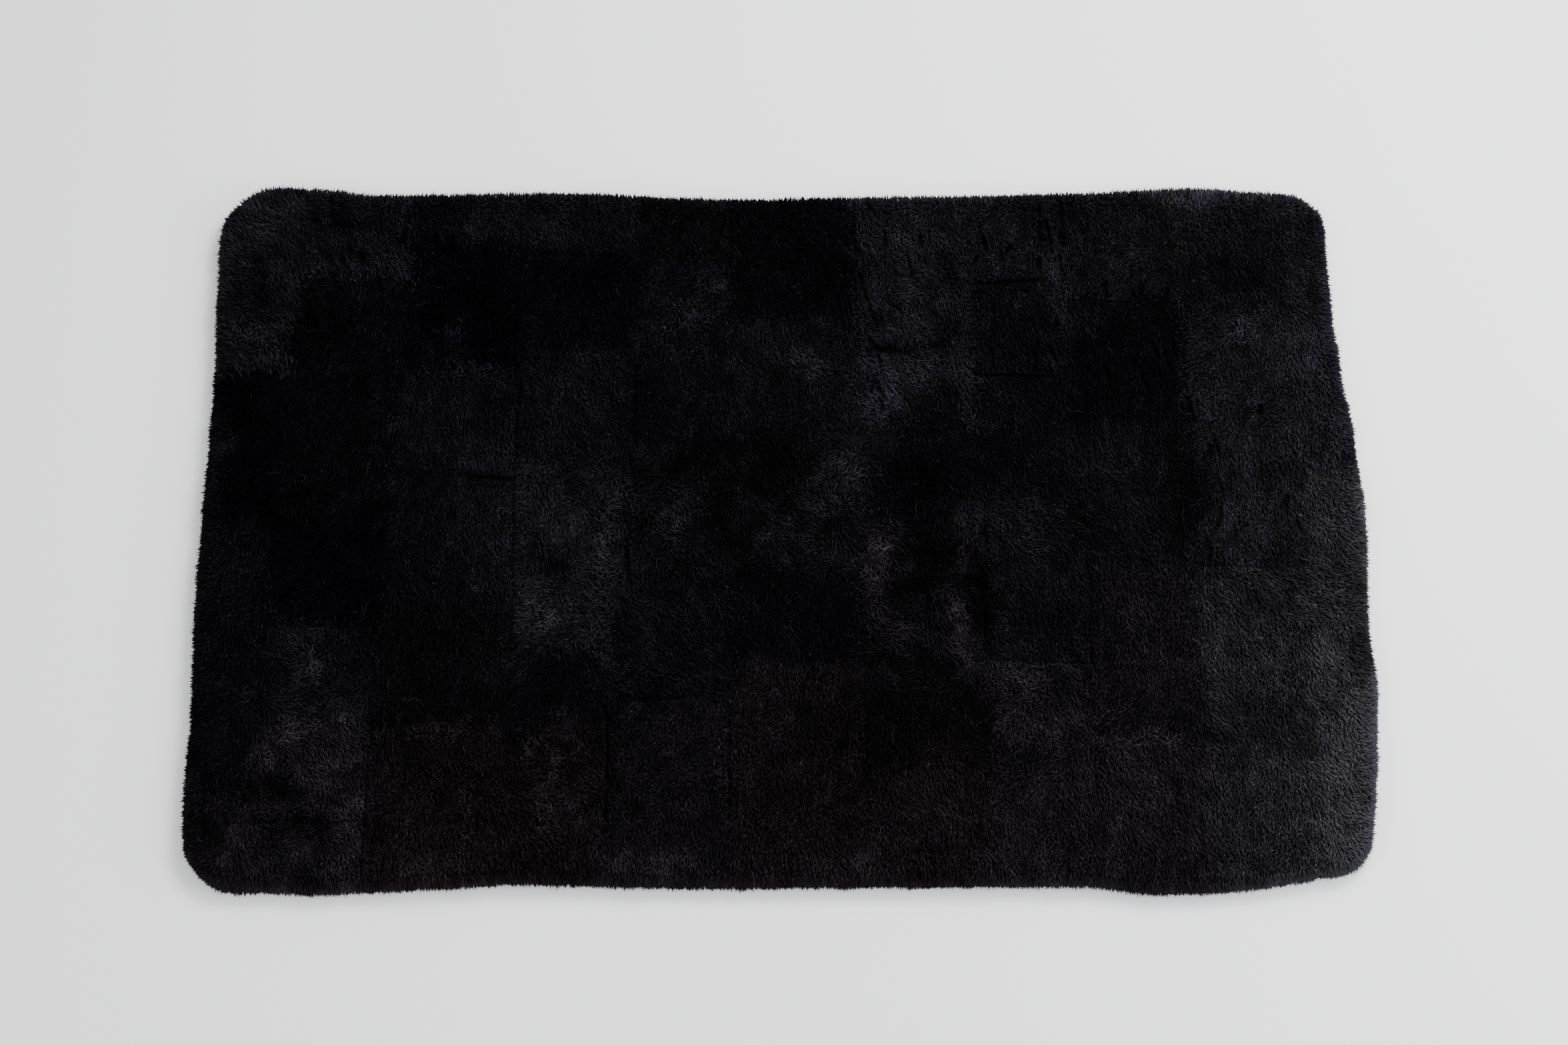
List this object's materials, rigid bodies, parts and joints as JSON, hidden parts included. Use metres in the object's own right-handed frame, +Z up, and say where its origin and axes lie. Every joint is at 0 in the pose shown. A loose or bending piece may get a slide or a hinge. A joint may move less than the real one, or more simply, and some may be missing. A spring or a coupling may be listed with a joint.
{
  "type": "patchwork lambskin dog blanket",
  "caption": "Flat patchwork lambskin blanket for a dog, short dense black wool on a thin hide, rounded corners, lying wool side up.",
  "frame": {"origin": "on the surface the blanket lies on, under the middle of its bounding box", "axes": "+X along the long side to the right, +Y along the short side towards the back edge, +Z up out of the wool"},
  "size_m": [1.2256, 0.8164, 0.0267],
  "materials": {
    "suede_hide": "matt suede, tanned and dyed through, flesh side out",
    "dyed_wool": "dense short clipped wool, dyed black, soft sheen on the hair tips"
  },
  "bodies": {
    "root": {"hide": "suede_hide", "fleece": "dyed_wool"}
  },
  "joints": []
}
